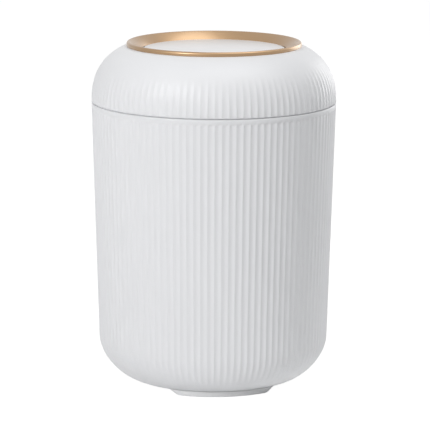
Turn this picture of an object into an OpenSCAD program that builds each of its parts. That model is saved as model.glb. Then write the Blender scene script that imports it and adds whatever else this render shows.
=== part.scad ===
// Push top countertop bin: fluted body, lift-off fluted dome lid, gold bezel and a sprung push flap.
// Origin: centre of the floor that the bin stands on. +Z up, front at -Y, hinge at +Y. Millimetres.

/* [Bin body] */
// Largest outside diameter, at the joint of body and lid
body_d = 135; // [130:0.5:142]
// Height of the joint between body and lid above the floor
seam_h = 156.3; // [130:0.1:180]
// Visible gap of the joint
seam_gap = 0.5; // [0.3:0.1:1]
// Wall thickness of body and dome
wall = 2.2; // [1.8:0.1:2.6]
// Thickness of the body's floor
floor_t = 2.6; // [2.2:0.1:4]
// Diameter of the flat underside
base_d = 86; // [80:1:92]
// Diameter where the bottom corner runs into the side
side_d = 127.4; // [124:0.2:130]
// Height of the bottom corner
corner_h = 22.3; // [18:0.1:28]
// Fullness of the bottom corner, 2 is an ellipse
corner_power = 1.7; // [1.55:0.05:2.1]
// Width of the raised land that carries the lid
land_w = 1; // [0.8:0.1:1.2]

/* [Flutes] */
// Flutes round the body and the dome
flute_count = 110; // [80:1:120]
// Depth of a flute
flute_depth = 0.45; // [0.2:0.05:0.6]
// Turn of the flutes round the axis, degrees
flute_turn = 2.04; // [0:0.01:4]
// Height of the plain band under the joint
band_h = 2.4; // [1.5:0.1:5]
// Length over which a flute runs out into the band
flute_runout = 1.2; // [0.8:0.1:3]
// Height above the floor at which the flutes have faded out
flute_start_h = 7; // [5:0.5:12]
// Height above the joint at which the flutes have faded out
flute_crown_h = 22; // [14:0.5:26]

/* [Feet] */
// Arc-shaped foot pads, the first one at the front
foot_count = 2; // [2:1:4]
// How far the pads' circle reaches outside the flat underside
foot_reach = 6.2; // [4:0.1:6.8]
// Width of a pad
foot_w = 5.4; // [4:0.1:7]
// Length of a pad round the circle, degrees
foot_arc = 64; // [30:1:70]
// Turn of the first pad to the right of the front, degrees
foot_turn = 7.2; // [0:0.1:30]
// Height of a pad
foot_h = 3; // [2.6:0.1:3.2]
// Bevel round a pad's lower edge
foot_bevel = 0.5; // [0.2:0.1:0.8]
// How far the pads hold the flat underside off the floor
stand_h = 1.5; // [1:0.1:2]
// Clearance of a pad in its recess
foot_gap = 0.1; // [0.05:0.05:0.2]

/* [Lid dome] */
// Rise of the dome's curve above the joint
dome_h = 33.8; // [32:0.1:36]
// Diameter at which the dome's curve would level out
dome_flat_d = 51.4; // [46:0.2:56]
// Fullness of the dome, 2 is an ellipse
dome_power = 2.43; // [2.3:0.01:2.6]
// Depth of the plug that enters the body's mouth
plug_h = 7.8; // [5:0.1:12]
// Thickness of the plug
plug_t = 2; // [1.5:0.1:2.5]
// Clearance of the plug in the body's mouth
plug_gap = 0.3; // [0.2:0.05:0.5]
// Lead-in chamfer round the plug's lower edge
plug_lead = 0.5; // [0.3:0.1:0.8]

/* [Bezel ring] */
// Outside diameter of the bezel
bezel_d = 96.4; // [95:0.2:98]
// Height of the bezel's crest above its seat on the dome
bezel_h = 2.4; // [2:0.1:3]
// Radius of the rounded crest
crest_r = 1.2; // [0.8:0.1:1.4]
// Width of the cone that falls from the crest to the lip
cone_w = 6.4; // [6.2:0.1:6.6]
// Width of the rim that rests on the dome, outside the skirt
brim_w = 2.9; // [2.6:0.1:3.2]
// Thickness of the skirt
skirt_t = 0.9; // [0.8:0.1:1]
// Clearance of the skirt in the dome's opening
skirt_gap = 0.3; // [0.2:0.05:0.4]
// Thickness of the cone
lip_t = 0.6; // [0.5:0.05:0.7]
// Thickness left at the lip's thin edge
lip_edge_t = 0.35; // [0.3:0.05:0.45]
// Depth of the lip's top edge below the flap's face
lip_drop = 0.5; // [0.4:0.05:0.7]
// Snap hooks round the skirt
hook_count = 6; // [3:1:8]

/* [Push flap] */
// Gap between the flap and the bezel's lip
flap_gap = 1.3; // [1.2:0.05:1.4]
// How far the flap sits forward of the bin's axis
flap_shift = 0.3; // [0.2:0.05:0.4]
// Depth of the flap's face below the crest
flap_drop = 3.8; // [3.6:0.1:4.2]
// Thickness of the cover's face
cover_t = 1.6; // [1.4:0.1:1.8]
// Thickness of the cover's rim
rim_t = 1.2; // [1:0.1:1.5]
// Radius of the cover's rounded edge
edge_r = 2; // [1.6:0.1:2.2]
// Depth of the ribs under the base
rib_h = 2.6; // [1.5:0.1:3]
// Thickness of the ribs
rib_t = 1.2; // [1:0.1:1.6]

/* [Hinge] */
// Radius of the steel hinge pin
pin_r = 0.75; // [0.7:0.05:0.8]
// Running clearance round the pin
pin_gap = 0.05; // [0.02:0.01:0.08]
// Depth of the pin below the flap's face, also the radius of the barrel that holds it
hinge_drop = 1.8; // [1.7:0.05:1.9]
// Distance of the pin from the flap's rear edge
hinge_inset = 5.5; // [5:0.1:6]
// Length of a lug that holds an end of the pin
lug_w = 2; // [1.6:0.1:2.2]
// Radius of a lug
lug_r = 1.4; // [1.3:0.05:1.45]

/* [Torsion springs] */
// Wire diameter of a torsion spring
torsion_wire_d = 0.6; // [0.5:0.05:0.65]
// Gap between neighbouring turns
torsion_turn_gap = 0.45; // [0.42:0.01:0.6]
// Full turns of a torsion spring
torsion_turns = 4; // [3:1:6]
// Radius of the pin that carries the springs
spring_pin_r = 0.8; // [0.7:0.05:0.9]
// Distance of the springs' pin below the hinge pin
spring_pin_drop = 10.5; // [10:0.1:11.5]
// Space for one spring along its pin
spring_bay_w = 12.2; // [11:0.1:13]
// Width of the lugs that hold the springs' pin
spring_lug_w = 1.8; // [1.5:0.1:2.2]
// Where a spring's leg presses the flap, in front of the hinge pin
torsion_reach = 6.3; // [5.5:0.1:6.8]
// Length of the leg that stands against the back plate
torsion_back_leg = 5; // [3:0.1:5.5]

/* [Throat frame] */
// Clearance of the throat inside the bezel's skirt
throat_gap = 0.4; // [0.3:0.05:0.5]
// Thickness of the throat's wall
throat_t = 1.6; // [1.4:0.1:1.7]
// Depth of the throat below its top edge
throat_h = 9.7; // [8:0.1:10]
// Thickness of the flange under the dome
flange_t = 2; // [1.6:0.1:2.4]
// Distance of the flange's top face below the flap's face
flange_drop = 5.5; // [5.2:0.1:6.5]
// Screws that hold the frame
frame_screw_count = 4; // [3:1:6]
// Distance of the screws outside the throat
frame_screw_inset = 6; // [5.4:0.1:6.6]
// Shank radius of a frame screw
frame_screw_r = 1.2; // [1:0.05:1.3]
// Radius of a screw boss in the dome
boss_r = 3; // [2.8:0.1:3.4]

/* [Latch] */
// Distance of the latch from the flap's front edge
latch_inset = 3.9; // [3.6:0.1:4.2]
// Width of the plunger
plunger_w = 13.4; // [13:0.1:14]
// Depth of the plunger, front to back
plunger_t = 10; // [9.6:0.1:10.4]
// Height of the plunger
plunger_h = 14.5; // [14:0.1:16]
// Sliding clearance of the plunger
plunger_gap = 0.3; // [0.2:0.05:0.4]
// Height of the housing
housing_h = 22.1; // [21:0.1:24]
// Wall of the housing
housing_t = 1.5; // [1.2:0.1:1.8]
// Thickness of the housing's back, which carries it
housing_back_t = 2.6; // [2:0.1:3]
// Wire diameter of the latch spring
latch_wire_d = 0.7; // [0.5:0.05:0.8]
// Turns of the latch spring
latch_turns = 6; // [4:1:7]
// Radius of a jaw pin
jaw_pin_r = 0.6; // [0.5:0.05:0.7]
// Shank radius of a latch screw
latch_screw_r = 0.9; // [0.8:0.05:1]

/* [Hidden] */
$fn = 96;
// Overshoot of a cut past the face that it opens
cut = 1;
// How far a rib, post or web sinks into the wall that carries it
sink = 0.5;
// Clearance of a screw's shank in its hole
screw_gap = 0.05;
// Seat gap between pieces of different bodies that rest on each other
rest_gap = 0.3;
// Gap between the frame's flange and the dome's inner face
flange_gap = 0.6;

white = [0.93, 0.93, 0.94];
gold = [0.84, 0.72, 0.55];
rubber_grey = [0.8, 0.8, 0.8];
steel = [0.7, 0.71, 0.73];
clip_white = [0.86, 0.87, 0.88];

body_r = body_d / 2;
side_r = side_d / 2;
base_r = base_d / 2;
mouth_r = body_r - wall;
corner_top = stand_h + corner_h;
rim_z = seam_h - seam_gap;
pitch = 360 / flute_count;

dome_flat_r = dome_flat_d / 2;
bezel_r = bezel_d / 2;
bezel_seat_r = bezel_r + skirt_gap;
seat_z = dome_z(bezel_seat_r, body_r, dome_h);
crest_z = seat_z + bezel_h;
skirt_out_r = bezel_r - brim_w;
skirt_r = skirt_out_r - skirt_t;
opening_r = skirt_out_r + skirt_gap;

lip_r = bezel_r - crest_r - cone_w;
flap_r = lip_r - flap_gap;
flap_z = crest_z - flap_drop;
rim_z0 = flap_z - 2 * hinge_drop;
plate_z = flap_z - cover_t;
lip_top = flap_z - lip_drop;
lip_low = lip_top - lip_t;
hinge_y = flap_r - flap_shift - hinge_inset;
hinge_z = flap_z - hinge_drop;
latch_y = flap_r + flap_shift - latch_inset;

throat_top = lip_low - rest_gap;
throat_out_r = skirt_r - throat_gap;
throat_r = throat_out_r - throat_t;
throat_z = throat_top - throat_h;
flange_z = flap_z - flange_drop;
flange_z0 = flange_z - flange_t;
flange_r = dome_inner_r(flange_z) - flange_gap;
lug_x = sqrt(pow(throat_r - rest_gap, 2) - pow(hinge_y, 2));
pin_end_x = lug_x + lug_w - rest_gap;
frame_screw_circle = throat_out_r + frame_screw_inset;
screw_head_r = 2 * frame_screw_r;
screw_head_h = 1.5;
// Top of the screw holes in the dome, under its skin
screw_hole_z = dome_z(frame_screw_circle + frame_screw_r, body_r, dome_h) - wall / 2;

// How far the plate behind the springs stands inside the throat's bore
spring_plate_inset = 1.2;
spring_plate_y = throat_r - spring_plate_inset;
spring_plate_t = 1.8;
spring_lug_r = 1.6;
// Clearance of the coils round their pin
coil_gap = 0.35;
coil_r = spring_pin_r + coil_gap + torsion_wire_d / 2;
spring_pin_y = spring_plate_y - rest_gap - torsion_wire_d / 2 - coil_r;
spring_pin_z = hinge_z - spring_pin_drop;
spring_lug_x = spring_lug_w + spring_bay_w;
spring_end_x = spring_lug_x + spring_lug_w;

// z of the dome's outline at radius r, for a superellipse of radius big_r and rise h
function dome_z(r, big_r, h) =
    seam_h + h * pow(1 - pow((r - dome_flat_r) / (big_r - dome_flat_r), dome_power), 1 / dome_power);
// radius of the dome's inner face at height z
function dome_inner_r(z) =
    dome_flat_r + (mouth_r - dome_flat_r)
    * pow(1 - pow((z - seam_h) / (dome_h - wall), dome_power), 1 / dome_power);
// point t degrees round a superellipse quarter, from the side (0) to the top (90)
function super_point(t, r0, r1, z0, h, power) =
    [r0 + (r1 - r0) * pow(cos(t), 2 / power), z0 + h * pow(sin(t), 2 / power)];
function dome_point(t) = super_point(t, dome_flat_r, body_r, seam_h, dome_h, dome_power);
function corner_point(t, inset = 0, rise = 0) =
    let (p = super_point(t, base_r - inset, side_r - inset, 0, corner_h - rise, corner_power))
    [p[0], corner_top - p[1]];

// Depth of a flute at height z: full on the side, fading at the corner, the band and the crown
function ease(x) = let (c = min(max(x, 0), 1)) c * (2 - c);
function body_flute(z) = flute_depth * ease((z - flute_start_h) / (corner_top - flute_start_h));
function dome_flute(z) = flute_depth * (1 - pow(min((z - seam_h) / flute_crown_h, 1), 2));

corner_steps = [90, 74, 60, 47, 35, 23, 11, 0];
body_rings = concat(
    [for (t = corner_steps) let (p = corner_point(t)) [p[1], p[0], body_flute(p[1])]],
    [let (z = rim_z - band_h - flute_runout) [z, side_at(z), flute_depth],
     let (z = rim_z - band_h) [z, side_at(z), 0],
     [rim_z, side_at(rim_z), 0]]);
dome_steps = [0, 12, 22, 32, 42, 51, 58, 66];
dome_rings = [for (t = dome_steps) let (p = dome_point(t)) [p[1], p[0], dome_flute(p[1])]];

// radius of the tapered side at height z
function side_at(z) = side_r + (body_r - side_r) * (z - corner_top) / (seam_h - corner_top);

// A closed loft through rings of [z, radius, flute depth], with an arris and a valley per flute
module fluted_solid(rings) {
    n = 2 * flute_count;
    points = [for (ring = rings) for (i = [0 : n - 1])
        let (a = flute_turn + i * pitch / 2, r = ring[1] - (i % 2) * ring[2])
        [r * cos(a), r * sin(a), ring[0]]];
    sides = [for (k = [0 : len(rings) - 2]) for (i = [0 : n - 1])
        let (j = (i + 1) % n, a = k * n + i, b = k * n + j, c = a + n, d = b + n)
        each (i % 2 == 0 ? [[a, c, d], [a, d, b]] : [[a, c, b], [b, c, d]])];
    bottom = [for (i = [0 : n - 1]) i];
    top = [for (i = [n - 1 : -1 : 0]) (len(rings) - 1) * n + i];
    polyhedron(points, concat(sides, [bottom, top]));
}

// Copies round the axis, the first one at angle a from +X
module around(count, a) {
    for (i = [0 : count - 1]) {
        rotate(a + i * 360 / count) children();
    }
}

// A horizontal cylinder along X from x0 to x1
module rod_x(r, x0, x1) {
    translate([x0, 0, 0]) rotate([0, 90, 0]) cylinder(r = r, h = x1 - x0, $fn = 48);
}

// A horizontal cylinder along Y from y0 to y1
module rod_y(r, y0, y1) {
    translate([0, y0, 0]) rotate([-90, 0, 0]) cylinder(r = r, h = y1 - y0, $fn = 48);
}

// A box from its lowest corner to its highest corner
module block(low, high) {
    translate(low) cube(high - low);
}

// ---------------------------------------------------------------- body and feet

module bin_cavity() {
    inner_z = stand_h + floor_t;
    outline = concat(
        [[0, inner_z]],
        [for (t = [90 : -10 : 0]) corner_point(t, wall, floor_t)],
        [[mouth_r, seam_h], [mouth_r, seam_h + cut], [0, seam_h + cut]]);
    rotate_extrude($fn = 240) polygon(outline);
}

// A ring segment of the section that is given round the pad's middle radius, longer by gap at each end
module arc_pad(section, gap) {
    mid_r = base_r + foot_reach - foot_w / 2;
    arc = foot_arc + 360 * gap / (PI * mid_r);
    rotate(-arc / 2) rotate_extrude(angle = arc) {
        polygon([for (p = section) [mid_r + p[0], p[1]]]);
    }
}

module foot_recess() {
    half = foot_w / 2 + foot_gap;
    arc_pad([[-half, 0], [half, 0], [half, foot_h], [-half, foot_h]], foot_gap);
}

module bin_body() {
    color(white) difference() {
        union() {
            fluted_solid(body_rings);
            translate([0, 0, rim_z - cut]) cylinder(r = mouth_r + land_w, h = seam_gap + cut);
        }
        bin_cavity();
        around(foot_count, foot_turn - 90) foot_recess();
    }
}

module foot_pads() {
    half = foot_w / 2;
    color(rubber_grey) around(foot_count, foot_turn - 90) {
        arc_pad([[foot_bevel - half, 0], [half - foot_bevel, 0], [half, foot_bevel], [half, foot_h],
                 [-half, foot_h], [-half, foot_bevel]], 0);
    }
}

// ---------------------------------------------------------------- lid and bezel

// How far a snap hook reaches outside the dome's opening
hook_reach = 0.4;
hook_h = 1.8;
// Length of a hook round the skirt, degrees
hook_arc = 14;
hook_turn = 15;

module dome_cavity() {
    outline = concat(
        [[0, seam_h - cut], [mouth_r, seam_h - cut]],
        [for (t = [0 : 9 : 81]) super_point(t, dome_flat_r, mouth_r, seam_h, dome_h - wall, dome_power)],
        [[0, seam_h + dome_h - wall]]);
    rotate_extrude($fn = 240) polygon(outline);
}

module lid_plug() {
    out_r = mouth_r - plug_gap;
    in_r = out_r - plug_t;
    grip_r = mouth_r + wall / 2;
    grip_z = seam_h + wall / 2;
    low_z = seam_h - plug_h;
    rotate_extrude() polygon([
        [in_r, low_z], [out_r - plug_lead, low_z], [out_r, low_z + 2 * plug_lead], [out_r, seam_h],
        [grip_r, grip_z], [grip_r, grip_z + plug_t], [in_r, grip_z + 2 * plug_t]]);
}

// Screw bosses, to be cut off by the dome's skin
module dome_bosses() {
    around(frame_screw_count, 45) translate([frame_screw_circle, 0, flange_z]) {
        cylinder(r = boss_r, h = dome_h, $fn = 48);
    }
}

module lid_dome() {
    color(white) difference() {
        union() {
            difference() {
                fluted_solid(dome_rings);
                difference() {
                    dome_cavity();
                    dome_bosses();
                }
            }
            lid_plug();
        }
        translate([0, 0, seat_z]) cylinder(r = bezel_seat_r, h = dome_h);
        cylinder(r = opening_r, h = seat_z + cut);
        around(frame_screw_count, 45) translate([frame_screw_circle, 0, flange_z - cut]) {
            cylinder(r = frame_screw_r + screw_gap, h = screw_hole_z - flange_z + cut, $fn = 32);
        }
    }
}

module bezel_ring() {
    crest_x = bezel_r - crest_r;
    crest_c = crest_z - crest_r;
    cone = (crest_z - lip_top) / (crest_x - lip_r);
    skirt_z = flange_z + rest_gap;
    outline = concat(
        [[lip_r, lip_top - lip_edge_t], [lip_r + lip_t, lip_low + cone * lip_t],
         [skirt_r, lip_low + cone * (skirt_r - lip_r)], [skirt_r, skirt_z],
         [skirt_out_r, skirt_z], [skirt_out_r, seat_z], [bezel_r, seat_z]],
        [for (a = [0 : 18 : 126]) [crest_x + crest_r * cos(a), crest_c + crest_r * sin(a)]],
        [[lip_r, lip_top]]);
    hook_in_r = skirt_r + skirt_t / 2;
    hook_out_r = opening_r + hook_reach;
    hook_z = dome_z(opening_r, mouth_r, dome_h - wall) - skirt_gap;
    color(gold) {
        rotate_extrude($fn = 144) polygon(outline);
        around(hook_count, hook_turn) rotate_extrude(angle = hook_arc) {
            polygon([[hook_in_r, hook_z], [hook_out_r, hook_z], [hook_in_r, hook_z - hook_h]]);
        }
    }
}

// ---------------------------------------------------------------- throat frame

// Height of the web that joins a hinge lug to the throat's wall
lug_web_h = 3;

// Lug on the throat's wall that holds the right end of the hinge pin
module hinge_lug() {
    intersection() {
        union() {
            translate([0, hinge_y, hinge_z]) rod_x(lug_r, lug_x, lug_x + lug_w);
            block([lug_x, hinge_y - lug_r, hinge_z - lug_web_h], [lug_x + lug_w, throat_r, hinge_z]);
        }
        translate([0, 0, throat_z]) cylinder(r = skirt_r - throat_gap / 2, h = throat_h + bezel_h);
    }
}

// Plate behind the throat, with three lugs for the pin of the torsion springs
module spring_bracket() {
    block([-spring_end_x, spring_plate_y, spring_pin_z - spring_lug_r],
          [spring_end_x, spring_plate_y + spring_plate_t, flange_z0 + cut]);
    for (x = [-spring_end_x, -spring_lug_w, spring_lug_x]) {
        w = x == -spring_lug_w ? 2 * spring_lug_w : spring_lug_w;
        translate([0, spring_pin_y, spring_pin_z]) rod_x(spring_lug_r, x, x + w);
        block([x, spring_pin_y, spring_pin_z - spring_lug_r],
              [x + w, spring_plate_y + cut, spring_pin_z + spring_lug_r]);
    }
}

module throat_frame() {
    bracket_x = latch_ear_x + latch_ear_r;
    color(white) difference() {
        union() {
            difference() {
                union() {
                    translate([0, 0, throat_z]) cylinder(r = throat_out_r, h = throat_h);
                    translate([0, 0, flange_z0]) cylinder(r = flange_r, h = flange_t);
                }
                translate([0, 0, throat_z - cut]) cylinder(r = throat_r, h = throat_h + 2 * cut);
            }
            hinge_lug();
            mirror([1, 0, 0]) hinge_lug();
            spring_bracket();
            block([-bracket_x, latch_back_y - bracket_t, latch_z0],
                  [bracket_x, latch_back_y, flange_z0 + cut]);
        }
        translate([0, hinge_y, hinge_z]) rod_x(pin_r + pin_gap, -pin_end_x - cut, pin_end_x + cut);
        translate([0, spring_pin_y, spring_pin_z]) {
            rod_x(spring_pin_r + screw_gap, -spring_end_x - cut, spring_end_x + cut);
        }
        around(frame_screw_count, 45) translate([frame_screw_circle, 0, flange_z0 - cut]) {
            cylinder(r = frame_screw_r + screw_gap, h = flange_t + 2 * cut, $fn = 32);
        }
        for (s = [-1, 1]) {
            translate([s * latch_ear_x, 0, latch_ear_z]) {
                rod_y(latch_screw_r + screw_gap, latch_back_y - bracket_t - cut, latch_back_y + cut);
            }
        }
    }
}

module frame_screws() {
    head_z = flange_z0 - screw_head_h;
    slot = screw_head_r * 0.6;
    slot_z = head_z + slot_depth;
    color(steel) around(frame_screw_count, 45) translate([frame_screw_circle, 0, 0]) {
        difference() {
            union() {
                translate([0, 0, flange_z0]) {
                    cylinder(r = frame_screw_r, h = screw_hole_z - rest_gap - flange_z0, $fn = 32);
                }
                translate([0, 0, head_z]) {
                    cylinder(r1 = screw_head_r * 0.8, r2 = screw_head_r, h = screw_head_h, $fn = 32);
                }
            }
            for (a = [0, 90]) {
                rotate(a) block([-slot, -slot_half, head_z - cut], [slot, slot_half, slot_z]);
            }
        }
    }
}

// ---------------------------------------------------------------- flap

peg_circle = 26;
peg_r = 1.25;
peg_count = 4;
peg_head_h = 0.8;
peg_head_r = 1.95;
// Distance of the base's ribs from a peg's axis
peg_room = 4;

module flap_cover() {
    edge = [for (a = [0 : 15 : 90])
        [flap_r - edge_r + edge_r * cos(a), flap_z - edge_r + edge_r * sin(a)]];
    outline = concat(
        [[0, plate_z], [flap_r - rim_t, plate_z], [flap_r - rim_t, rim_z0], [flap_r, rim_z0]],
        edge, [[0, flap_z]]);
    color(white) difference() {
        union() {
            translate([0, -flap_shift, 0]) rotate_extrude($fn = 144) polygon(outline);
            intersection() {
                translate([0, hinge_y, hinge_z]) rod_x(hinge_drop, -lug_x, lug_x);
                translate([0, -flap_shift, rim_z0 - cut]) {
                    cylinder(r = flap_r - rim_t / 2, h = flap_drop + cut);
                }
            }
            around(peg_count, 45) translate([peg_circle, 0, 0]) {
                translate([0, 0, rim_z0]) cylinder(r = peg_r, h = plate_z - rim_z0 + sink, $fn = 32);
                translate([0, 0, rim_z0 - peg_head_h]) {
                    cylinder(r1 = peg_r, r2 = peg_head_r, h = peg_head_h, $fn = 32);
                }
            }
        }
        translate([0, hinge_y, hinge_z]) rod_x(pin_r + pin_gap, -lug_x, lug_x);
    }
}

module flap_base() {
    plate_r = flap_r - rim_t - foot_gap;
    ring_r = peg_circle + peg_room;
    rib_z = rim_z0 - rib_h;
    rear = hinge_y - hinge_drop - rest_gap;
    color(clip_white) difference() {
        union() {
            intersection() {
                translate([0, -flap_shift, rim_z0]) cylinder(r = plate_r, h = plate_z - rim_z0);
                block([-flap_r, -flap_r - cut, rim_z0], [flap_r, rear, plate_z]);
            }
            translate([0, 0, rib_z]) difference() {
                cylinder(r = ring_r, h = rib_h + sink);
                translate([0, 0, -cut]) cylinder(r = ring_r - rib_t, h = rib_h + 2 * cut);
                block([-spring_lug_x, 0, -cut], [spring_lug_x, ring_r, rib_h + cut]);
            }
            for (a = [0, 90]) {
                rotate(a) block([-ring_r + rib_t, -rib_t / 2, rib_z],
                                [peg_circle - peg_room, rib_t / 2, rim_z0 + sink]);
            }
            block([-striker_w / 2, -striker_front, striker_z],
                  [striker_w / 2, -striker_rear, rim_z0 + sink]);
        }
        around(peg_count, 45) translate([peg_circle, 0, rim_z0 - cut]) {
            cylinder(r = peg_r + foot_gap, h = plate_z - rim_z0 + 2 * cut, $fn = 32);
        }
        translate([0, -striker_screw_y, striker_z - cut]) {
            cylinder(r = latch_screw_r + screw_gap, h = plate_z - striker_z, $fn = 32);
        }
    }
}

// ---------------------------------------------------------------- striker

striker_w = 12;
striker_t = 1.5;
tongue_half = 2.5;
neck_half = 1.5;
head_half = 3;
striker_front = latch_y + tongue_half;
striker_rear = latch_y - 8.7;
striker_screw_y = latch_y - 6.2;
striker_z = rim_z0 - rib_h;
striker_z0 = striker_z - striker_t;
tongue_z = striker_z0 - 6.9;
shoulder_z = tongue_z + 3;
// Half width and height of the striker's tapered tip
tip_half = 1.2;
tip_z = tongue_z + 2.2;

module striker() {
    color(clip_white) difference() {
        union() {
            block([-striker_w / 2, -striker_front, striker_z0], [striker_w / 2, -striker_rear, striker_z]);
            translate([0, -latch_y + tongue_half, 0]) rotate([90, 0, 0]) linear_extrude(2 * tongue_half) {
                polygon([[-tip_half, tongue_z], [tip_half, tongue_z], [head_half, tip_z],
                         [head_half, shoulder_z], [neck_half, shoulder_z], [neck_half, striker_z0 + sink],
                         [-neck_half, striker_z0 + sink], [-neck_half, shoulder_z],
                         [-head_half, shoulder_z], [-head_half, tip_z]]);
            }
        }
        translate([0, -striker_screw_y, striker_z0 - cut]) {
            cylinder(r = latch_screw_r + screw_gap, h = striker_t + 2 * cut, $fn = 32);
        }
    }
}

pan_head_h = 1.3;
slot_half = 0.2;
slot_depth = 0.7;

// Pan-head screw: shank from z = 0 up to length, head below
module pan_screw(r, length) {
    difference() {
        union() {
            cylinder(r = r, h = length, $fn = 32);
            translate([0, 0, -pan_head_h]) cylinder(r1 = r * 1.7, r2 = r * 2, h = pan_head_h, $fn = 32);
        }
        for (a = [0, 90]) {
            rotate(a) block([-r * 1.2, -slot_half, -pan_head_h - cut],
                            [r * 1.2, slot_half, slot_depth - pan_head_h]);
        }
    }
}

module striker_screw() {
    color(steel) translate([0, -striker_screw_y, striker_z0]) {
        pan_screw(latch_screw_r, plate_z - striker_z0 - striker_t + 0.3);
    }
}

// ---------------------------------------------------------------- hinge pin and torsion springs

module hinge_pin() {
    color(steel) translate([0, hinge_y, hinge_z]) rod_x(pin_r, -pin_end_x, pin_end_x);
}

module spring_pin() {
    color(steel) translate([0, spring_pin_y, spring_pin_z]) rod_x(spring_pin_r, -spring_end_x, spring_end_x);
}

wire_steps = 10;

// A tube through points, closed at both ends, with six sides
module wire(points, d) {
    sides = 6;
    n = len(points);
    function tangent(i) =
        let (a = points[max(i - 1, 0)], b = points[min(i + 1, n - 1)]) (b - a) / norm(b - a);
    function side_of(t) = abs(t[0]) < 0.9 ? cross(t, [1, 0, 0]) : cross(t, [0, 1, 0]);
    rings = [for (i = [0 : n - 1])
        let (t = tangent(i), u0 = side_of(t), u = u0 / norm(u0), v = cross(t, u))
        [for (k = [0 : sides - 1]) points[i] + d / 2 * (cos(k * 60) * u + sin(k * 60) * v)]];
    faces = concat(
        [[for (k = [0 : sides - 1]) k]],
        [for (i = [0 : n - 2]) for (k = [0 : sides - 1])
            let (a = i * sides + k, b = i * sides + (k + 1) % sides)
            each [[a, a + sides, b], [b, a + sides, b + sides]]],
        [[for (k = [sides - 1 : -1 : 0]) (n - 1) * sides + k]]);
    polyhedron([for (ring = rings) each ring], faces);
}

// Least distance between the surfaces of a coiled wire's turns
function least_gap(points, d) =
    min([for (i = [0 : len(points) - 1]) for (j = [i + wire_steps * 0.6 : len(points) - 1])
        norm(points[i] - points[j])]) - d;

// Torsion spring on the right, about its pin: a leg under the flap, the coil, a leg up the back plate
torsion_tip = [hinge_y - torsion_reach - spring_pin_y,
               rim_z0 - rest_gap - torsion_wire_d / 2 - spring_pin_z];
torsion_start = atan2(torsion_tip[1], torsion_tip[0]) + acos(coil_r / norm(torsion_tip));
torsion_end = 360 * (torsion_turns + 1);
torsion_steps = ceil((torsion_end - torsion_start) / 360 * wire_steps);
torsion_pitch = torsion_wire_d + torsion_turn_gap;
torsion_w = torsion_pitch * (torsion_end - torsion_start) / 360;
torsion_x = spring_lug_w + (spring_bay_w - torsion_w) / 2;
torsion_coil = [for (i = [0 : torsion_steps])
    let (t = i / torsion_steps, a = torsion_start + (torsion_end - torsion_start) * t)
    [torsion_x + torsion_w * t, coil_r * cos(a), coil_r * sin(a)]];
torsion_points = concat(
    [[torsion_x, torsion_tip[0], torsion_tip[1]],
     [torsion_x, (torsion_tip[0] + torsion_coil[0][1]) / 2, (torsion_tip[1] + torsion_coil[0][2]) / 2]],
    torsion_coil,
    [[torsion_x + torsion_w, coil_r, torsion_back_leg]]);

module torsion_spring_right() {
    color(steel) translate([0, spring_pin_y, spring_pin_z]) wire(torsion_points, torsion_wire_d);
}

module torsion_spring_left() {
    color(steel) mirror([1, 0, 0]) translate([0, spring_pin_y, spring_pin_z]) {
        wire(torsion_points, torsion_wire_d);
    }
}

// ---------------------------------------------------------------- push-push latch

bracket_t = 2.2;
plunger_top = tongue_z + 1.3;
plunger_z0 = plunger_top - plunger_h;
latch_top = plunger_top + 1.1;
latch_z0 = latch_top - housing_h;
cavity_x = plunger_w / 2 + plunger_gap;
cavity_front = latch_y - plunger_t / 2 - plunger_gap;
cavity_back = latch_y + plunger_t / 2 + plunger_gap;
latch_back_y = -(cavity_back + housing_back_t);
latch_ear_x = 10.8;
latch_ear_r = 2.7;
latch_ear_z = (latch_top + latch_z0) / 2;
latch_ear_t = 4;
cap_t = 2;
cap_gap = 0.1;
jaw_x = 5.6;
jaw_z = plunger_z0 + 8;
jaw_t = 1.6;
nose_z = shoulder_z + 0.8;
nose_h = 1.8;
cheek_t = 1.6;
jaw_gap = 0.15;
spring_seat_z = plunger_z0 + 5;
spring_out_r = 3;
spring_room = 0.4;
spring_post_r = 1.7;
spring_post_h = 5.5;
follower_z = plunger_z0 + 7.5;
follower_r = 0.5;
follower_room = 0.2;
// Depth of the follower's slot in the housing's front wall
follower_slot = 1.1;
// Running clearance of a jaw on its pin
jaw_pin_gap = 0.05;

module latch_housing() {
    color(clip_white) difference() {
        union() {
            block([-cavity_x - housing_t, latch_back_y, latch_z0],
                  [cavity_x + housing_t, -cavity_front + housing_t, latch_top]);
            for (s = [-1, 1]) {
                translate([s * latch_ear_x, 0, latch_ear_z]) {
                    rod_y(latch_ear_r, latch_back_y, latch_back_y + latch_ear_t);
                }
                block([min(s * cavity_x, s * latch_ear_x), latch_back_y, latch_ear_z - latch_ear_r],
                      [max(s * cavity_x, s * latch_ear_x), latch_back_y + latch_ear_t,
                       latch_ear_z + latch_ear_r]);
            }
        }
        block([-cavity_x, -cavity_back, latch_z0 - cut], [cavity_x, -cavity_front, latch_top + cut]);
        block([-follower_r - follower_room, -cavity_front - cut, latch_z0 - cut],
              [follower_r + follower_room, -cavity_front + follower_slot, latch_top + cut]);
        for (s = [-1, 1]) {
            translate([s * latch_ear_x, 0, latch_ear_z]) {
                rod_y(latch_screw_r + screw_gap, latch_back_y - cut, latch_back_y + latch_ear_t - 0.6);
            }
        }
    }
}

module latch_end_cap() {
    x = cavity_x - cap_gap;
    color(clip_white) {
        block([-x, -cavity_back + cap_gap, latch_z0], [x, -cavity_front - cap_gap, latch_z0 + cap_t]);
        translate([0, -latch_y, latch_z0 + cap_t - sink]) {
            cylinder(r = spring_post_r, h = spring_post_h, $fn = 32);
        }
    }
}

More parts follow.
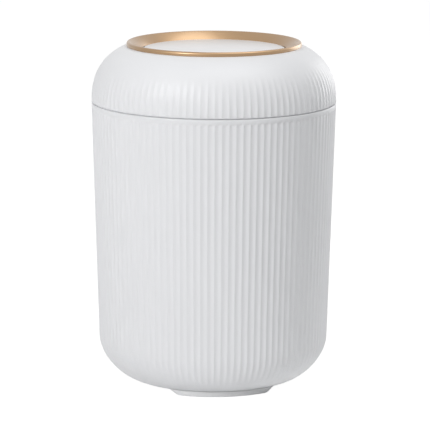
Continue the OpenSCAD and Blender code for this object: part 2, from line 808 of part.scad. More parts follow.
module latch_plunger() {
    x = plunger_w / 2;
    t = plunger_t / 2;
    pocket_z = plunger_z0 + 6;
    pad_z = tongue_z - rest_gap;
    color(clip_white) translate([0, -latch_y, 0]) difference() {
        union() {
            difference() {
                block([-x, -t, plunger_z0], [x, t, plunger_top]);
                block([-x - cut, -t + cheek_t, pocket_z], [x + cut, t - cheek_t, plunger_top + cut]);
            }
            block([-neck_half, -t + cheek_t, pocket_z - sink], [neck_half, t - cheek_t, pad_z]);
        }
        translate([0, 0, plunger_z0 - cut]) {
            cylinder(r = spring_out_r + spring_room, h = spring_seat_z - plunger_z0 + cut);
        }
        for (s = [-1, 1]) {
            translate([s * jaw_x, 0, jaw_z]) rod_y(jaw_pin_r + jaw_pin_gap, -t - cut, t + cut);
        }
        difference() {
            block([-2.4, t - 1.2, plunger_z0 + 1.5], [2.4, t + cut, plunger_top - 1.5]);
            translate([0, t + cut, follower_z - follower_r - rest_gap]) rotate([90, 0, 0]) {
                linear_extrude(4) {
                    polygon([[0, -0.5], [1.1, 0.5], [1.1, -1.2], [0, -3.4], [-1.1, -1.2], [-1.1, 0.5]]);
                }
            }
        }
    }
}

// Jaw on the +X side, drawn open
module latch_jaw() {
    t = plunger_t / 2 - cheek_t - jaw_gap;
    x0 = jaw_x - jaw_t / 2;
    translate([0, -latch_y, 0]) difference() {
        union() {
            translate([jaw_x, 0, jaw_z]) rod_y(jaw_t * 0.7, -t, t);
            block([x0, -t, jaw_z], [jaw_x + jaw_t / 2, t, nose_z + nose_h]);
            translate([0, t, 0]) rotate([90, 0, 0]) linear_extrude(2 * t) {
                polygon([[x0 + 0.2, nose_z], [head_half + rest_gap, nose_z],
                         [head_half + rest_gap, nose_z + 0.6], [x0 + 0.2, nose_z + nose_h]]);
            }
        }
        translate([jaw_x, 0, jaw_z]) rod_y(jaw_pin_r + jaw_pin_gap, -t - cut, t + cut);
    }
}

module latch_jaw_right() {
    color(clip_white) latch_jaw();
}

module latch_jaw_left() {
    color(clip_white) mirror([1, 0, 0]) latch_jaw();
}

module jaw_pins() {
    t = plunger_t / 2;
    color(steel) for (s = [-1, 1]) {
        translate([s * jaw_x, -latch_y, jaw_z]) rod_y(jaw_pin_r, -t, t);
    }
}

latch_spring_r = spring_out_r - latch_wire_d / 2;
latch_spring_z0 = latch_z0 + cap_t + latch_wire_d / 2;
latch_spring_z1 = spring_seat_z - latch_wire_d / 2;
latch_spring_points = [for (i = [0 : latch_turns * wire_steps])
    let (a = 360 * i / wire_steps)
    [latch_spring_r * cos(a), latch_spring_r * sin(a),
     latch_spring_z0 + (latch_spring_z1 - latch_spring_z0) * i / (latch_turns * wire_steps)]];

module latch_spring() {
    color(steel) translate([0, -latch_y, 0]) wire(latch_spring_points, latch_wire_d);
}

module cam_follower() {
    y = -cavity_front + follower_r;
    z0 = latch_z0 + cap_t;
    color(steel) {
        translate([0, y, z0]) cylinder(r = follower_r, h = follower_z - z0, $fn = 32);
        translate([0, 0, follower_z]) rod_y(follower_r, -cavity_front - follower_slot, y);
        translate([0, y, follower_z]) sphere(r = follower_r, $fn = 32);
    }
}

module latch_screws() {
    color(steel) for (s = [-1, 1]) {
        translate([s * latch_ear_x, latch_back_y - bracket_t, latch_ear_z]) rotate([-90, 0, 0]) {
            pan_screw(latch_screw_r, bracket_t + latch_ear_t - 0.9);
        }
    }
}

echo(torsion_spring_least_gap = least_gap(torsion_points, torsion_wire_d));
echo(latch_spring_least_gap = least_gap(latch_spring_points, latch_wire_d));

bin_body();
foot_pads();
lid_dome();
bezel_ring();
throat_frame();
frame_screws();
flap_cover();
flap_base();
striker();
striker_screw();
hinge_pin();
spring_pin();
torsion_spring_left();
torsion_spring_right();
latch_housing();
latch_end_cap();
latch_plunger();
latch_jaw_left();
latch_jaw_right();
jaw_pins();
latch_spring();
cam_follower();
latch_screws();
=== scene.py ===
"""Push top countertop bin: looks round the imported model, in metres, +Z up, front towards -Y."""

import math

import bmesh
import bpy
from mathutils import Matrix, Vector


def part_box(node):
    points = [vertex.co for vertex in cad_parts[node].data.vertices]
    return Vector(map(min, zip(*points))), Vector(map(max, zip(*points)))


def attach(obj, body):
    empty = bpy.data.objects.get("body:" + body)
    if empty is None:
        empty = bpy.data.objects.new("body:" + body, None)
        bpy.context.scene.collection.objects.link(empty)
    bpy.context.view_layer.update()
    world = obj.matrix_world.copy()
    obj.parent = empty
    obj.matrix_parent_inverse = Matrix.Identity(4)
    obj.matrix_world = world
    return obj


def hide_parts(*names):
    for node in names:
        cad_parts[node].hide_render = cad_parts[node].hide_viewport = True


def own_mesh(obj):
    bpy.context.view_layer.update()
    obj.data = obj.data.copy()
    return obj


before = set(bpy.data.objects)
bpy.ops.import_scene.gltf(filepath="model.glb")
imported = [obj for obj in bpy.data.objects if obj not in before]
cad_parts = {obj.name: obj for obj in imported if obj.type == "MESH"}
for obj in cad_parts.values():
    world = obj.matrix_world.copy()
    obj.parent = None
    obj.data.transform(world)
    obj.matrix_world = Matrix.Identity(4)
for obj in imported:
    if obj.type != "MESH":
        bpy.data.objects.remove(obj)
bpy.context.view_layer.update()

# ------------------------------------------------------------------ bin body
# Injection-moulded white bin with 110 fine flutes that fade out round the bottom corner and stop
# at a plain band under the lid. It carries a low land inside its rim on which the lid sits.

MM = 0.001
weld = 0.002 * MM
spin_parts = 8
flute_count = 110
points_per_flute = 8
spin_steps = flute_count * points_per_flute
flute_depth = 0.45 * MM
flute_turn = math.radians(2.04)
wall = 2.2 * MM
floor_t = 2.6 * MM
seam_gap = 0.5 * MM
edge_round = 0.3 * MM
underside_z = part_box("bin_body")[0].z
seam_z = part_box("bin_body")[1].z
seam_r = 67.5 * MM
corner_side_r = 63.7 * MM
corner_base_r = 43 * MM
corner_h = 22.3 * MM
corner_power = 1.7
corner_top = underside_z + corner_h
band_h = 2.4 * MM
flute_runout = 1.2 * MM
runout_steps = 5
flute_start_z = 7 * MM
land_w = 1 * MM
rim_z = seam_z - seam_gap
band_z = rim_z - band_h
mouth_r = seam_r - wall
land_r = mouth_r + land_w
floor_z = underside_z + floor_t


def clamp(share):
    return min(max(share, 0), 1)


def polar(radius, angle):
    """The point on the ground plane at a radius and an angle from +X."""
    return Vector((radius * math.cos(angle), radius * math.sin(angle), 0))


def angles_round(count, start):
    """Evenly spaced angles round the axis, in radians; the first one is given in degrees."""
    return [math.radians(start + 360 * i / count) for i in range(count)]


def superellipse(t, r0, r1, z0, h, power):
    """The point t degrees round a quarter curve, from its side (0) to its top (90)."""
    t = math.radians(t)
    return r0 + (r1 - r0) * math.cos(t) ** (2 / power), z0 + h * math.sin(t) ** (2 / power)


def round_corner(centre, radius, start, end, steps):
    """Points along an arc of the profile; angles in degrees from outward to up."""
    cx, cz = centre
    angles = [math.radians(start + (end - start) * i / steps) for i in range(steps + 1)]
    return [(cx + radius * math.cos(a), cz + radius * math.sin(a)) for a in angles]


def verts_in(geom):
    return [g for g in geom if isinstance(g, bmesh.types.BMVert)]


def verts_since(bm, before):
    return [v for v in bm.verts if v not in before]


def spin_sheet(bm, profile, steps):
    """Spins an open profile of (radius, height) points round the bin's axis; returns its vertices.

    One part of the turn is spun, and its copies are turned into place.
    """
    part_turn = 2 * math.pi / spin_parts
    sheet = bmesh.new()
    verts = [sheet.verts.new((r, 0, z)) for r, z in profile]
    edges = [sheet.edges.new(pair) for pair in zip(verts, verts[1:])]
    bmesh.ops.spin(sheet, geom=verts + edges, cent=(0, 0, 0), axis=(0, 0, 1), angle=part_turn,
                   steps=steps // spin_parts)
    part = sheet.verts[:] + sheet.edges[:] + sheet.faces[:]
    for index in range(1, spin_parts):
        copied = bmesh.ops.duplicate(sheet, geom=part)["geom"]
        bmesh.ops.rotate(sheet, verts=verts_in(copied),
                         matrix=Matrix.Rotation(index * part_turn, 3, "Z"))
    holder = bpy.data.meshes.new("spun_sheet")
    sheet.to_mesh(holder)
    sheet.free()
    count = len(bm.verts)
    bm.from_mesh(holder)
    bpy.data.meshes.remove(holder)
    bm.verts.ensure_lookup_table()
    return bm.verts[count:]


def press_flutes(verts, depth_at):
    """Presses concave flutes into a spun sheet; depth_at gives a flute's depth at a height."""
    pitch = 2 * math.pi / flute_count
    for v in verts:
        radius = math.hypot(v.co.x, v.co.y)
        across = ((math.atan2(v.co.y, v.co.x) - flute_turn) / pitch) % 1
        shift = depth_at(v.co.z) * (1 - (2 * across - 1) ** 2)
        v.co.x *= 1 - shift / radius
        v.co.y *= 1 - shift / radius


def finish_mesh(bm, name, body, sharp=60):
    """Turns a bmesh into a smooth-shaded piece that rides on a body.

    Edges that turn by more than the angle sharp, in degrees, stay sharp.
    """
    bmesh.ops.remove_doubles(bm, verts=bm.verts, dist=weld)
    bmesh.ops.recalc_face_normals(bm, faces=bm.faces)
    for face in bm.faces:
        face.smooth = True
    for edge in bm.edges:
        if edge.is_manifold:
            edge.smooth = edge.calc_face_angle(0) < math.radians(sharp)
    mesh = bpy.data.meshes.new(name)
    bm.to_mesh(mesh)
    bm.free()
    piece = bpy.data.objects.new(name, mesh)
    bpy.context.scene.collection.objects.link(piece)
    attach(piece, body)
    return piece


def side_r(z):
    """The body's radius at a height between the bottom corner and the joint."""
    return corner_side_r + (seam_r - corner_side_r) * (z - corner_top) / (seam_z - corner_top)


def corner(t, inset=0, rise=0):
    """A point on the bottom corner: 90 on the flat underside, 0 where it meets the side."""
    r, h = superellipse(t, corner_base_r - inset, corner_side_r - inset, 0, corner_h - rise,
                        corner_power)
    return r, corner_top - h


def body_flute_depth(z):
    fade = clamp((z - flute_start_z) / (corner_top - flute_start_z))
    runout = clamp((band_z - z) / flute_runout)
    return flute_depth * fade * (2 - fade) * (1 - (1 - runout) ** 2)


bm = bmesh.new()
runout_heights = [band_z - flute_runout * (1 - i / runout_steps) for i in range(runout_steps + 1)]
skin = [(0, underside_z)]
skin += [corner(t) for t in range(90, -1, -5)]
skin += [(side_r(z), z) for z in runout_heights]
skin += round_corner((side_r(rim_z) - edge_round, rim_z - edge_round), edge_round, 0, 90, steps=3)
spun = spin_sheet(bm, skin, spin_steps)
press_flutes([v for v in spun if v.co.z > flute_start_z], body_flute_depth)
lining = [skin[-1], (land_r, rim_z), (land_r, seam_z - edge_round / 2),
          (land_r - edge_round / 2, seam_z), (mouth_r, seam_z)]
lining += [corner(t, wall, floor_t) for t in range(0, 91, 10)]
lining += [(0, floor_z)]
spin_sheet(bm, lining, spin_steps)
body_shell = finish_mesh(bm, "fluted_body", "bin")
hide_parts("bin_body")

grain_share = 0.3
grain_strength = 0.25
noise_low, noise_high = 0.3, 0.7


def link(tree, source, target):
    tree.links.new(source, target)


def feed(tree, value, socket):
    """Gives a socket its value, which is another socket or a number."""
    if isinstance(value, bpy.types.NodeSocket):
        link(tree, value, socket)
    else:
        socket.default_value = value


def math_node(tree, operation, *values):
    """A Math node's result; the values are sockets or numbers."""
    node = tree.nodes.new("ShaderNodeMath")
    node.operation = operation
    for socket, value in zip(node.inputs, values):
        feed(tree, value, socket)
    return node.outputs[0]


def noise(tree, vector, scale, detail):
    """A noise texture's value; the scale is a socket or a number."""
    node = tree.nodes.new("ShaderNodeTexNoise")
    node.inputs["Detail"].default_value = detail
    feed(tree, scale, node.inputs["Scale"])
    link(tree, vector, node.inputs["Vector"])
    return node.outputs["Fac"]


def surface_group(name, sizes):
    """A node group that takes coordinates and sizes and gives tone, gloss and height."""
    group = bpy.data.node_groups.new(name, "ShaderNodeTree")
    group.interface.new_socket(name="Coordinates", socket_type="NodeSocketVector", in_out="INPUT")
    for size in sizes:
        group.interface.new_socket(name=size, socket_type="NodeSocketFloat", in_out="INPUT")
    for result in ("Tone", "Gloss", "Height"):
        group.interface.new_socket(name=result, socket_type="NodeSocketFloat", in_out="OUTPUT")
    given = group.nodes.new("NodeGroupInput").outputs
    wanted = group.nodes.new("NodeGroupOutput").inputs
    return group, given, wanted


def moulded_surface_group():
    """What a moulded surface shows: fine grain, slow unevenness of tone and of gloss."""
    group, given, wanted = surface_group("moulded_surface", ("Grain Scale", "Cloud Scale"))
    grain = noise(group, given["Coordinates"], given["Grain Scale"], detail=3)
    cloud = noise(group, given["Coordinates"], given["Cloud Scale"], detail=4)
    tone = math_node(group, "ADD", math_node(group, "MULTIPLY", grain, grain_share),
                     math_node(group, "MULTIPLY", cloud, 1 - grain_share))
    link(group, tone, wanted["Tone"])
    link(group, math_node(group, "MULTIPLY", cloud, grain), wanted["Gloss"])
    link(group, grain, wanted["Height"])
    return group


def vary(tree, factor, low, high, socket):
    """Maps the middle of a noise's values to a range of roughness and feeds the shader's socket."""
    node = tree.nodes.new("ShaderNodeMapRange")
    node.inputs["From Min"].default_value = noise_low
    node.inputs["From Max"].default_value = noise_high
    node.inputs["To Min"].default_value = low
    node.inputs["To Max"].default_value = high
    link(tree, factor, node.inputs["Value"])
    link(tree, node.outputs["Result"], socket)


def tint(tree, factor, dark, light, socket):
    """Mixes two colours by a value that changes over the surface and feeds the shader's socket."""
    node = tree.nodes.new("ShaderNodeMix")
    node.data_type = "RGBA"
    colours = [s for s in node.inputs if s.type == "RGBA"]
    colours[0].default_value = (*dark, 1)
    colours[1].default_value = (*light, 1)
    link(tree, factor, node.inputs["Factor"])
    link(tree, next(s for s in node.outputs if s.type == "RGBA"), socket)


def relief(tree, height, strength, distance, shader):
    """Feeds a height to the shader's normal through a Bump node; distance in metres."""
    node = tree.nodes.new("ShaderNodeBump")
    node.inputs["Strength"].default_value = strength
    node.inputs["Distance"].default_value = distance
    link(tree, height, node.inputs["Height"])
    link(tree, node.outputs["Normal"], shader.inputs["Normal"])


def surfaced(name, group, sizes, dark, light, rough, strength, bump, plain):
    """A material with two near tones, a range of roughness and a relief, spread by a group."""
    material = bpy.data.materials.new(name)
    material.use_nodes = True
    tree = material.node_tree
    shader = tree.nodes["Principled BSDF"]
    for socket, value in plain.items():
        shader.inputs[socket.replace("_", " ")].default_value = value
    surface = tree.nodes.new("ShaderNodeGroup")
    surface.node_tree = group
    for socket, value in sizes.items():
        surface.inputs[socket].default_value = value
    coordinates = tree.nodes.new("ShaderNodeTexCoord").outputs["Object"]
    link(tree, coordinates, surface.inputs["Coordinates"])
    tint(tree, surface.outputs["Tone"], dark, light, shader.inputs["Base Color"])
    vary(tree, surface.outputs["Gloss"], rough[0], rough[1], shader.inputs["Roughness"])
    relief(tree, surface.outputs["Height"], strength, bump, shader)
    return material


def moulded(name, dark, light, rough, grain_scale, cloud_scale, bump, **plain):
    """A moulded plastic or rubber; bump is the depth of its grain."""
    sizes = {"Grain Scale": grain_scale, "Cloud Scale": cloud_scale}
    return surfaced(name, moulded_surface, sizes, dark, light, rough, grain_strength, bump, plain)


moulded_surface = moulded_surface_group()
white_matt = moulded("white_matt_plastic", dark=(0.83, 0.835, 0.85), light=(0.87, 0.875, 0.89),
                     rough=(0.42, 0.62), grain_scale=2200, cloud_scale=25, bump=0.02 * MM,
                     Specular_IOR_Level=0.4)
body_shell.data.materials.append(white_matt)

# ------------------------------------------------------------------ foot pads
# Two arc-shaped pads of pale rubber, front and rear, with rounded ends that widen upwards and a
# soft lower edge, beneath the underside. The bin stands on them.

pad_count = 2
pad_w = 5.4 * MM
pad_mid_r = 46.5 * MM
pad_outer_r = pad_mid_r + pad_w / 2
pad_arc = math.radians(56.5)
pad_flare = 0.2
pad_turn = math.radians(7.2)
pad_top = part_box("foot_pads")[1].z
pad_bevel = 0.6 * MM
pad_weld = 0.01 * MM


def trace_arc(bm, start, centre, angle, steps):
    """Spins one vertex round a centre, leaving a chain of edges, and returns the last vertex."""
    result = bmesh.ops.spin(bm, geom=[start], cent=centre, axis=(0, 0, 1), angle=angle, steps=steps)
    return verts_in(result["geom_last"])[0]


bm = bmesh.new()
for index in range(pad_count):
    first = pad_turn - math.pi / 2 - pad_arc / 2 + index * 2 * math.pi / pad_count
    first_end, last_end = [polar(pad_mid_r, angle) for angle in (first, first + pad_arc)]
    before = set(bm.verts)
    last = trace_arc(bm, bm.verts.new(polar(pad_outer_r, first)), (0, 0, 0), pad_arc, steps=24)
    last = trace_arc(bm, last, last_end, math.pi, steps=10)
    last = trace_arc(bm, last, (0, 0, 0), -pad_arc, steps=24)
    trace_arc(bm, last, first_end, math.pi, steps=10)
    bmesh.ops.remove_doubles(bm, verts=verts_since(bm, before), dist=pad_weld)
    rim = verts_since(bm, before)
    rim_edges = list({e for v in rim for e in v.link_edges})
    base = bmesh.ops.contextual_create(bm, geom=rim + rim_edges)["faces"]
    raised = bmesh.ops.extrude_face_region(bm, geom=base, use_keep_orig=True)["geom"]
    bmesh.ops.translate(bm, verts=verts_in(raised), vec=(0, 0, pad_top))
    bmesh.ops.bevel(bm, geom=list(base[0].edges), offset=pad_bevel, segments=3, profile=0.5,
                    affect="EDGES", material=-1)
    middle = first + pad_arc / 2
    for v in verts_since(bm, before):
        radius = math.hypot(v.co.x, v.co.y)
        aside = math.remainder(math.atan2(v.co.y, v.co.x) - middle, 2 * math.pi)
        turned = middle + aside * (1 + pad_flare * v.co.z / pad_top)
        v.co.x, v.co.y = radius * math.cos(turned), radius * math.sin(turned)
pads = finish_mesh(bm, "rubber_pads", "bin", sharp=50)
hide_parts("foot_pads")
pads.data.materials.append(
    moulded("pale_rubber", dark=(0.83, 0.835, 0.84), light=(0.87, 0.875, 0.88), rough=(0.55, 0.75),
            grain_scale=3000, cloud_scale=60, bump=0.03 * MM, Specular_IOR_Level=0.3))

# ------------------------------------------------------------------ lid dome
# The lift-off lid: a moulded dome with the same flutes running up from its edge and fading out
# on the shoulder, a plug that enters the bin's mouth, and four screw bosses inside.

dome_h = 33.8 * MM
dome_flat_r = 25.7 * MM
dome_power = 2.43
flute_crown_h = 22 * MM
plug_h = 7.8 * MM
plug_t = 2 * MM
plug_gap = 0.3 * MM
plug_lead = 0.5 * MM
plug_root_h = 5 * MM
plug_r = mouth_r - plug_gap
plug_in_r = plug_r - plug_t
plug_z = seam_z - plug_h
crest_above_seat = 2.4 * MM
seat_r = 48.5 * MM
opening_r = 45.6 * MM
seat_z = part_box("bezel_ring")[1].z - crest_above_seat
boss_count = 4
boss_start = 45
boss_circle = 50 * MM
boss_r = 3 * MM
boss_hole_r = 1.25 * MM
boss_below_skirt = 0.3 * MM
boss_sink = 0.55
skirt_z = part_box("bezel_ring")[0].z
boss_z = skirt_z - boss_below_skirt


def dome_z(r, big_r, h):
    """Height of the dome's curve at a radius."""
    share = (r - dome_flat_r) / (big_r - dome_flat_r)
    return seam_z + h * (1 - share ** dome_power) ** (1 / dome_power)


def dome_curve(big_r, h, r_end, steps):
    """The dome's curve from the joint up to a radius."""
    share = (r_end - dome_flat_r) / (big_r - dome_flat_r)
    top = math.degrees(math.acos(share ** (dome_power / 2)))
    return [superellipse(top * i / steps, dome_flat_r, big_r, seam_z, h, dome_power)
            for i in range(steps + 1)]


def dome_flute_depth(z):
    rise = clamp((z - seam_z) / flute_crown_h)
    return flute_depth * (1 - rise ** 2)


bm = bmesh.new()
shoulder = dome_curve(seam_r, dome_h, seat_r, steps=26)
shoulder = [p for p in shoulder if p[1] > seam_z + edge_round]
skin = round_corner((seam_r - edge_round, seam_z + edge_round), edge_round, -90, 0, steps=3)
skin += shoulder
press_flutes(spin_sheet(bm, skin, spin_steps), dome_flute_depth)
vault = dome_curve(mouth_r, dome_h - wall, opening_r, steps=16)
vault = [p for p in vault if p[0] < plug_in_r]
lining = [shoulder[-1], (seat_r, seat_z), (opening_r, seat_z)] + vault[::-1]
lining += [(plug_in_r, seam_z + plug_root_h), (plug_in_r, plug_z + plug_lead),
           (plug_in_r + plug_lead / 2, plug_z), (plug_r - plug_lead, plug_z),
           (plug_r, plug_z + 2 * plug_lead), (plug_r, seam_z)]
spin_sheet(bm, lining, spin_steps)
spin_sheet(bm, [lining[-1], skin[0]], spin_steps)
mid_wall = dome_z(boss_circle, seam_r, dome_h) - wall * boss_sink
slope = (dome_z(boss_circle + boss_r, seam_r, dome_h)
         - dome_z(boss_circle - boss_r, seam_r, dome_h)) / 2 / boss_r
for angle in angles_round(boss_count, boss_start):
    before = set(bm.verts)
    ring = [bm.verts.new((boss_circle + r, 0, z)) for r, z in
            ((boss_r, boss_z), (boss_r, seat_z), (boss_hole_r, seat_z), (boss_hole_r, boss_z))]
    sides = [bm.edges.new((ring[i], ring[(i + 1) % 4])) for i in range(4)]
    bmesh.ops.spin(bm, geom=ring + sides, cent=(boss_circle, 0, 0), axis=(0, 0, 1),
                   angle=2 * math.pi, steps=32, use_merge=True)
    boss = verts_since(bm, before)
    for v in boss:
        if v.co.z > (boss_z + seat_z) / 2:
            v.co.z = mid_wall + slope * (v.co.x - boss_circle)
    bmesh.ops.transform(bm, matrix=Matrix.Rotation(angle, 4, "Z"), verts=boss)
dome_shell = finish_mesh(bm, "fluted_dome", "lid")
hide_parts("lid_dome")
dome_shell.data.materials.append(white_matt)

# ------------------------------------------------------------------ bezel ring
# Champagne-gold anodised ring round the push flap: a round crest, a cone that falls inward to a
# thin lip, and a skirt with snap hooks that grip the dome's opening.

bezel_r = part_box("bezel_ring")[1].x
crest_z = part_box("bezel_ring")[1].z
bezel_steps = 288
crest_round = 1.2 * MM
crest_r = bezel_r - crest_round
foot_bevel = 0.15 * MM
skirt_out_r = 45.3 * MM
skirt_r = 44.4 * MM
lip_r = 40.6 * MM
lip_z = crest_z - 4.3 * MM
lip_t = 0.6 * MM
lip_edge_t = 0.35 * MM
lip_round_w = 0.1 * MM
lip_round_top = 0.07 * MM
lip_round_foot = 0.08 * MM
cone = (crest_z - lip_z) / (crest_r - lip_r)
cone_foot_z = lip_z - lip_t
hook_count = 6
hook_start = 15
hook_arc = math.radians(14)
hook_root = 0.45 * MM
hook_grip = 0.4 * MM
hook_h = 1.8 * MM
hook_gap = 0.3 * MM
hook_z = dome_z(opening_r, mouth_r, dome_h - wall) - hook_gap

bm = bmesh.new()
profile = [(lip_r, lip_z - lip_edge_t), (lip_r + lip_t, cone_foot_z + cone * lip_t),
           (skirt_r, cone_foot_z + cone * (skirt_r - lip_r)), (skirt_r, skirt_z),
           (skirt_out_r, skirt_z), (skirt_out_r, seat_z), (bezel_r - foot_bevel, seat_z),
           (bezel_r, seat_z + foot_bevel)]
profile += round_corner((crest_r, crest_z - crest_round), crest_round, 0, 126, steps=18)
profile += [(lip_r + lip_round_w, lip_z + lip_round_top), (lip_r, lip_z - lip_round_foot)]
spin_sheet(bm, profile + profile[:1], bezel_steps)
for angle in angles_round(hook_count, hook_start):
    before = set(bm.verts)
    nose = bm.faces.new([bm.verts.new((r, 0, z)) for r, z in
                         ((skirt_r + hook_root, hook_z), (opening_r + hook_grip, hook_z),
                          (skirt_r + hook_root, hook_z - hook_h))])
    bmesh.ops.spin(bm, geom=[nose], cent=(0, 0, 0), axis=(0, 0, 1), angle=hook_arc, steps=8)
    bmesh.ops.transform(bm, matrix=Matrix.Rotation(angle, 4, "Z"), verts=verts_since(bm, before))
bezel = finish_mesh(bm, "gold_bezel", "lid", sharp=40)
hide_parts("bezel_ring")

line_strength = 0.2
lines_round = 3


def turned_surface_group():
    """Fine lines that a tool leaves round an axis: a height and a gloss that run round Z."""
    group, given, wanted = surface_group("turned_surface", ("Line Scale",))
    split = group.nodes.new("ShaderNodeSeparateXYZ")
    join = group.nodes.new("ShaderNodeCombineXYZ")
    link(group, given["Coordinates"], split.inputs[0])
    x, y, z = split.outputs
    across = math_node(group, "SQRT", math_node(group, "ADD", math_node(group, "MULTIPLY", x, x),
                                                math_node(group, "MULTIPLY", y, y)))
    round_axis = math_node(group, "ARCTAN2", y, x)
    link(group, math_node(group, "MULTIPLY", across, given["Line Scale"]), join.inputs[0])
    link(group, math_node(group, "MULTIPLY", z, given["Line Scale"]), join.inputs[1])
    link(group, math_node(group, "MULTIPLY", round_axis, lines_round), join.inputs[2])
    lines = noise(group, join.outputs[0], 1, detail=2)
    cloud = noise(group, given["Coordinates"], 40, detail=3)
    gloss = math_node(group, "MULTIPLY", math_node(group, "ADD", lines, cloud), 0.5)
    link(group, cloud, wanted["Tone"])
    link(group, gloss, wanted["Gloss"])
    link(group, lines, wanted["Height"])
    return group


def metal(name, dark, light, rough, line_scale, bump, **plain):
    """A turned, drawn or plated metal; bump is the depth of its lines."""
    return surfaced(name, turned_surface, {"Line Scale": line_scale}, dark, light, rough,
                    line_strength, bump, {"Metallic": 1, **plain})


turned_surface = turned_surface_group()
bezel.data.materials.append(
    metal("champagne_gold", dark=(0.34, 0.218, 0.118), light=(0.4, 0.262, 0.146),
          rough=(0.34, 0.44), line_scale=6000, bump=0.01 * MM, Coat_Weight=0.5,
          Coat_Roughness=0.22))

# ------------------------------------------------------------------ push flap
# The round lid panel that is pressed to open: a moulded cover with a soft edge, a rim, a hinge
# barrel across its rear and four pegs that hold the ribbed base underneath.

cover_low, cover_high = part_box("flap_cover")
flap_z = cover_high.z
flap_r = (cover_high.x - cover_low.x) / 2
flap_shift = -(cover_low.y + cover_high.y) / 2
cover_steps = 192
cover_t = 1.6 * MM
cover_under_z = flap_z - cover_t
cover_rim_t = 1.2 * MM
cover_rim_z = flap_z - 3.6 * MM
cover_edge = 0.9 * MM
rim_inner_r = flap_r - cover_rim_t
rim_middle_r = flap_r - cover_rim_t / 2
barrel_r = 1.8 * MM
barrel_x = 25 * MM
hinge_low, hinge_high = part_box("hinge_pin")
hinge_y = (hinge_low.y + hinge_high.y) / 2
hinge_z = (hinge_low.z + hinge_high.z) / 2
pin_r = (hinge_high.z - hinge_low.z) / 2
pin_gap = 0.05 * MM
peg_count = 4
peg_start = 45
peg_circle = 26 * MM
peg_r = 1.25 * MM
peg_h = cover_under_z - cover_rim_z
peg_head_r = 1.95 * MM
peg_head_h = 0.8 * MM

bm = bmesh.new()
profile = [(0, cover_under_z), (rim_inner_r, cover_under_z), (rim_inner_r, cover_rim_z),
           (flap_r, cover_rim_z)]
profile += round_corner((flap_r - cover_edge, flap_z - cover_edge), cover_edge, 0, 90, steps=10)
profile += [(0, flap_z)]
disc = spin_sheet(bm, profile, cover_steps)
bmesh.ops.translate(bm, verts=disc, vec=(0, -flap_shift, 0))
before = set(bm.verts)
ring = [bm.verts.new((-barrel_x, hinge_y, hinge_z + r)) for r in (pin_r + pin_gap, barrel_r)]
bmesh.ops.spin(bm, geom=ring + [bm.edges.new(ring)], cent=(0, hinge_y, hinge_z), axis=(1, 0, 0),
               angle=2 * math.pi, steps=40, use_merge=True)
cap = [f for f in bm.faces if all(v not in before for v in f.verts)]
far_end = bmesh.ops.extrude_face_region(bm, geom=cap, use_keep_orig=True)["geom"]
bmesh.ops.translate(bm, verts=verts_in(far_end), vec=(2 * barrel_x, 0, 0))
for v in verts_since(bm, before):
    over_edge = max(v.co.z - (flap_z - cover_edge), 0)
    rounding = cover_edge - math.sqrt(max(cover_edge ** 2 - over_edge ** 2, 0))
    reach = math.sqrt((rim_middle_r - rounding) ** 2 - (v.co.y + flap_shift) ** 2)
    v.co.x = math.copysign(reach, v.co.x)
for angle in angles_round(peg_count, peg_start):
    place = polar(peg_circle, angle)
    for end_r, length, middle_z in ((peg_r, peg_h, cover_rim_z + peg_h / 2),
                                    (peg_head_r, peg_head_h, cover_rim_z - peg_head_h / 2)):
        bmesh.ops.create_cone(bm, cap_ends=True, segments=24, radius1=peg_r, radius2=end_r,
                              depth=length,
                              matrix=Matrix.Translation(place + Vector((0, 0, middle_z))))
cover = finish_mesh(bm, "flap_face", "flap", sharp=40)
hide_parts("flap_cover")
cover.data.materials.append(
    moulded("white_satin_plastic", dark=(0.82, 0.82, 0.83), light=(0.85, 0.85, 0.86),
            rough=(0.28, 0.42), grain_scale=2600, cloud_scale=20, bump=0.012 * MM,
            Specular_IOR_Level=0.5))

# ------------------------------------------------------------------ frame, flap base and latch
# Inner mouldings: the frame that is screwed under the dome, the flap's ribbed base, and the acetal
# pieces of the push latch. They stay as packed and get their plastics here.

frame_plastic = moulded("frame_plastic", dark=(0.78, 0.785, 0.79), light=(0.83, 0.835, 0.84),
                        rough=(0.35, 0.5), grain_scale=2400, cloud_scale=30, bump=0.015 * MM,
                        Specular_IOR_Level=0.45)
acetal = moulded("latch_acetal", dark=(0.80, 0.80, 0.78), light=(0.86, 0.86, 0.84),
                 rough=(0.25, 0.38), grain_scale=3500, cloud_scale=50, bump=0.008 * MM,
                 Specular_IOR_Level=0.5)


def dress(node, material):
    """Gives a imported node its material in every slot."""
    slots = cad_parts[node].data.materials
    slots.clear()
    slots.append(material)


for node in ("throat_frame", "flap_base"):
    dress(node, frame_plastic)
for node in ("striker", "latch_housing", "latch_end_cap", "latch_plunger", "latch_jaw_left",
             "latch_jaw_right"):
    dress(node, acetal)

# ------------------------------------------------------------------ pins, springs and screws
# Drawn spring steel for the pins and springs, and zinc-plated screws. They stay as packed, with
# smooth shading round the springs' wire. The latch spring gets a mesh of its own.

spring_steel = metal("spring_steel", dark=(0.50, 0.51, 0.53), light=(0.60, 0.61, 0.63),
                     rough=(0.22, 0.36), line_scale=5000, bump=0.005 * MM)
zinc = metal("zinc_plate", dark=(0.56, 0.57, 0.59), light=(0.66, 0.67, 0.68),
             rough=(0.3, 0.45), line_scale=3000, bump=0.006 * MM)
for node in ("hinge_pin", "spring_pin", "jaw_pins", "cam_follower"):
    dress(node, spring_steel)
for node in ("torsion_spring_left", "torsion_spring_right", "latch_spring"):
    dress(node, spring_steel)
    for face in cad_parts[node].data.polygons:
        face.use_smooth = True
for node in ("frame_screws", "striker_screw", "latch_screws"):
    dress(node, zinc)

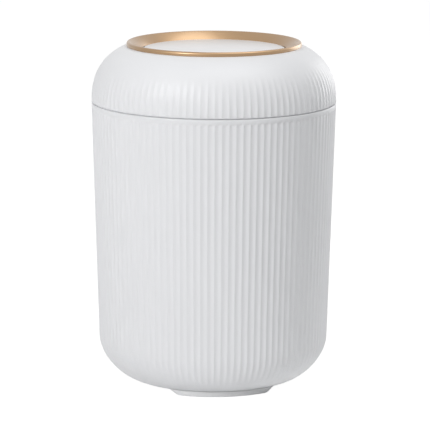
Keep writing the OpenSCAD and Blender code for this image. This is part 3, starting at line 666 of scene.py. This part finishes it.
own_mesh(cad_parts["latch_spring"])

# ------------------------------------------------------------------ floor, light and camera
# A plain white floor that keeps a faint shadow, a small soft key from the upper left, a wide soft
# light above, a soft rim light from behind on the right, and a camera with a long lens that looks
# down at about 11 degrees.

floor_size = 6
floor_white = 1.2
floor_share = 0.8
ambient_strength = 0.19


def show_by_ray(tree, lighting, seen, share, output):
    """Shows one shader to the camera and to mirrors and lights the rest with another.

    The share is how much of the seen shader shows, from 0 to 1.
    """
    rays = tree.nodes.new("ShaderNodeLightPath").outputs
    direct = math_node(tree, "MAXIMUM", rays["Is Camera Ray"],
                       math_node(tree, "MAXIMUM", rays["Is Glossy Ray"],
                                 rays["Is Transmission Ray"]))
    mix = tree.nodes.new("ShaderNodeMixShader")
    link(tree, math_node(tree, "MULTIPLY", direct, share), mix.inputs["Fac"])
    link(tree, lighting.outputs[0], mix.inputs[1])
    link(tree, seen.outputs[0], mix.inputs[2])
    link(tree, mix.outputs[0], tree.nodes[output].inputs["Surface"])


floor = bmesh.new()
bmesh.ops.create_grid(floor, x_segments=1, y_segments=1, size=floor_size)
floor_mesh = bpy.data.meshes.new("floor")
floor.to_mesh(floor_mesh)
floor.free()
floor_piece = bpy.data.objects.new("floor", floor_mesh)
bpy.context.scene.collection.objects.link(floor_piece)
floor_paint = bpy.data.materials.new("white_floor")
floor_paint.use_nodes = True
tree = floor_paint.node_tree
tree.nodes.remove(tree.nodes["Principled BSDF"])
matt = tree.nodes.new("ShaderNodeBsdfDiffuse")
matt.inputs["Color"].default_value = (0.9, 0.9, 0.9, 1)
glow = tree.nodes.new("ShaderNodeEmission")
glow.inputs["Strength"].default_value = floor_white
show_by_ray(tree, matt, glow, floor_share, "Material Output")
floor_mesh.materials.append(floor_paint)

world = bpy.data.worlds.new("studio")
bpy.context.scene.world = world
world.use_nodes = True
tree = world.node_tree
ambient = tree.nodes["Background"]
ambient.inputs["Color"].default_value = (0.97, 0.98, 1, 1)
ambient.inputs["Strength"].default_value = ambient_strength
white = tree.nodes.new("ShaderNodeBackground")
white.inputs["Color"].default_value = (1, 1, 1, 1)
white.inputs["Strength"].default_value = 1
show_by_ray(tree, ambient, white, 1, "World Output")

aim = Vector((0, 0, 0.1))


def soft_light(name, place, size, power):
    """A square soft box that faces the bin; size in metres, power in watts."""
    lamp = bpy.data.lights.new(name, "AREA")
    lamp.size = size
    lamp.energy = power
    holder = bpy.data.objects.new(name, lamp)
    bpy.context.scene.collection.objects.link(holder)
    holder.location = place
    holder.rotation_euler = (aim - Vector(place)).to_track_quat("-Z", "Y").to_euler()


soft_light("key", place=(-0.91, -1.1, 0.85), size=0.45, power=12.3)
soft_light("top", place=(0.45, -0.15, 1.3), size=1.0, power=7.6)
soft_light("rim", place=(0.95, 1.05, 0.4), size=0.8, power=5)

camera_place = Vector((0, -1.4, 0.3681))
camera_pitch = math.radians(11.17)
camera_yaw = -0.0006
camera_roll = 0.004
focal_px = 2562.4
picture_px = 430
camera_data = bpy.data.cameras.new("camera")
camera_data.sensor_width = 36
camera_data.lens = focal_px * camera_data.sensor_width / picture_px
camera = bpy.data.objects.new("camera", camera_data)
camera.matrix_world = (Matrix.Translation(camera_place) @ Matrix.Rotation(camera_yaw, 4, "Z")
                       @ Matrix.Rotation(math.pi / 2 - camera_pitch, 4, "X")
                       @ Matrix.Rotation(camera_roll, 4, "Z"))
bpy.context.scene.collection.objects.link(camera)
bpy.context.scene.camera = camera
bpy.context.scene.view_settings.view_transform = "Standard"
